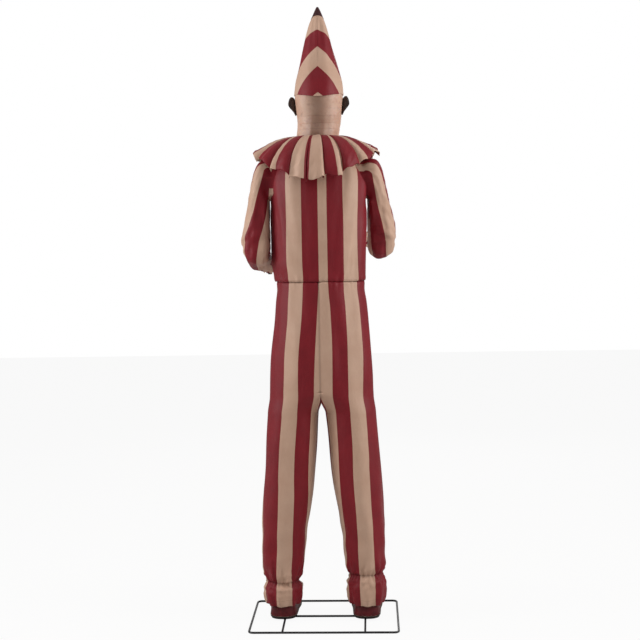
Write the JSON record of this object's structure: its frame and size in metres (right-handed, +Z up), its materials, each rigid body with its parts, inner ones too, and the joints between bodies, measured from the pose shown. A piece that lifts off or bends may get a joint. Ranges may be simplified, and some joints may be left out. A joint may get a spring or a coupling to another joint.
{
  "type": "animatronic clown",
  "caption": "Standing clown figure in a striped jumpsuit, ruff and cone hat on a rod base; its head turns, its mouth opens and its arms pose.",
  "frame": {"origin": "on the floor under the middle of the base's cross bar, midway between the leg poles", "axes": "+Z up, the figure faces -Y, its left hand is on +X"},
  "size_m": [0.767, 0.9236, 3.048],
  "materials": {
    "black_steel": "satin black paint",
    "zinc_steel": "zinc plated",
    "striped_cloth": "woven cloth with broad dark red and cream stripes",
    "red_cloth": "dark red woven cloth",
    "flesh_latex": "matt skin-coloured latex",
    "ear_latex": "dark latex",
    "shoe_leather": "dark red, softly polished",
    "sole_rubber": "matt",
    "frame_plastic": "moulded, matt",
    "box_plastic": "moulded, fine grain",
    "gear_plastic": "natural moulded plastic",
    "button_plastic": "red, glossy",
    "eye_plastic": "glossy",
    "nose_plastic": "red, glossy",
    "board_green": "lacquered board",
    "chest_plastic": "vacuum formed, matt"
  },
  "bodies": {
    "base": {"base_cross_bar": "black_steel", "base_foot_bar_left": "black_steel", "base_foot_bar_right": "black_steel", "base_ring": "black_steel", "bodice": "striped_cloth", "chest_form_back": "chest_plastic", "chest_form_front": "chest_plastic", "chest_rib_lower": "chest_plastic", "chest_rib_upper": "chest_plastic", "circuit_board": "board_green", "control_box_cover": "box_plastic", "control_box_housing": "box_plastic", "hip_yoke": "black_steel", "leg_clamp_screw_left": "zinc_steel", "leg_clamp_screw_right": "zinc_steel", "leg_socket_left": "black_steel", "leg_socket_right": "black_steel", "lower_leg_pole_left": "black_steel", "lower_leg_pole_right": "black_steel", "neck_motor": "zinc_steel", "neck_plate": "black_steel", "neck_ruff": "striped_cloth", "power_inlet": "zinc_steel", "shoe_sole_left": "sole_rubber", "shoe_sole_right": "sole_rubber", "shoe_upper_left": "shoe_leather", "shoe_upper_right": "shoe_leather", "shoulder_bar": "black_steel", "speaker": "frame_plastic", "spine_pole": "black_steel", "trousers": "striped_cloth", "upper_leg_pole_left": "black_steel", "upper_leg_pole_right": "black_steel"},
    "head": {"neck_gear": "gear_plastic", "head_shell": "flesh_latex", "skull_frame": "frame_plastic", "ear_left": "ear_latex", "ear_right": "ear_latex", "eye_left": "eye_plastic", "eye_right": "eye_plastic", "nose": "nose_plastic", "hat_cone": "striped_cloth", "hat_tip": "red_cloth", "jaw_motor": "zinc_steel"},
    "jaw": {"jaw": "flesh_latex"},
    "jaw_pinion": {"jaw_pinion": "gear_plastic"},
    "neck_pinion": {"neck_pinion": "gear_plastic"},
    "upper_arm_left": {"upper_arm_left": "zinc_steel", "upper_sleeve_left": "striped_cloth"},
    "upper_arm_right": {"upper_arm_right": "zinc_steel", "upper_sleeve_right": "striped_cloth"},
    "forearm_left": {"forearm_left": "zinc_steel", "lower_sleeve_left": "striped_cloth", "hand_left": "flesh_latex"},
    "forearm_right": {"forearm_right": "zinc_steel", "lower_sleeve_right": "striped_cloth", "hand_right": "flesh_latex"},
    "mode_slider": {"mode_slider": "button_plastic"},
    "test_button": {"test_button": "button_plastic"},
    "volume_knob": {"volume_knob": "frame_plastic"}
  },
  "joints": [
    {"name": "head_turn", "type": "hinge", "parent": "base", "child": "head", "pos_m": [0, 0, 2.318], "axis": [0, 0, 1], "range_deg": [-35, 35]},
    {"name": "neck_pinion_spin", "type": "hinge", "parent": "base", "child": "neck_pinion", "pos_m": [0, -0.0723, 2.318], "axis": [0, 0, 1], "range_deg": [-105, 105]},
    {"name": "jaw_open", "type": "hinge", "parent": "head", "child": "jaw", "pos_m": [0, -0.01, 2.545], "axis": [1, 0, 0], "range_deg": [0, 16]},
    {"name": "jaw_pinion_spin", "type": "hinge", "parent": "head", "child": "jaw_pinion", "pos_m": [0.059, 0.0278, 2.545], "axis": [1, 0, 0], "range_deg": [-64, 0]},
    {"name": "shoulder_left", "type": "hinge", "parent": "base", "child": "upper_arm_left", "pos_m": [0.262, 0, 2.235], "axis": [-1, 0, 0], "range_deg": [-12, 50]},
    {"name": "shoulder_right", "type": "hinge", "parent": "base", "child": "upper_arm_right", "pos_m": [-0.262, 0, 2.235], "axis": [-1, 0, 0], "range_deg": [-38, 24]},
    {"name": "elbow_left", "type": "hinge", "parent": "upper_arm_left", "child": "forearm_left", "pos_m": [0.312, 0.02093, 1.83555], "axis": [-1, 0, 0], "range_deg": [-18, 32]},
    {"name": "elbow_right", "type": "hinge", "parent": "upper_arm_right", "child": "forearm_right", "pos_m": [-0.312, -0.17535, 1.87548], "axis": [-1, 0, 0], "range_deg": [-12, 44]},
    {"name": "mode_switch", "type": "slide", "parent": "base", "child": "mode_slider", "axis": [1, 0, 0], "range_m": [0, 0.008]},
    {"name": "test_press", "type": "slide", "parent": "base", "child": "test_button", "axis": [0, 1, 0], "range_m": [0, 0.0025], "stiffness_N_per_m": 600, "springref_m": -0.001},
    {"name": "volume_turn", "type": "hinge", "parent": "base", "child": "volume_knob", "pos_m": [0.038, -0.0686, 1.536], "axis": [0, -1, 0], "range_deg": [0, 270]}
  ],
  "couplings": [
    {"joint": "neck_pinion_spin", "follows": "head_turn", "ratio": -3},
    {"joint": "jaw_pinion_spin", "follows": "jaw_open", "ratio": -4}
  ]
}
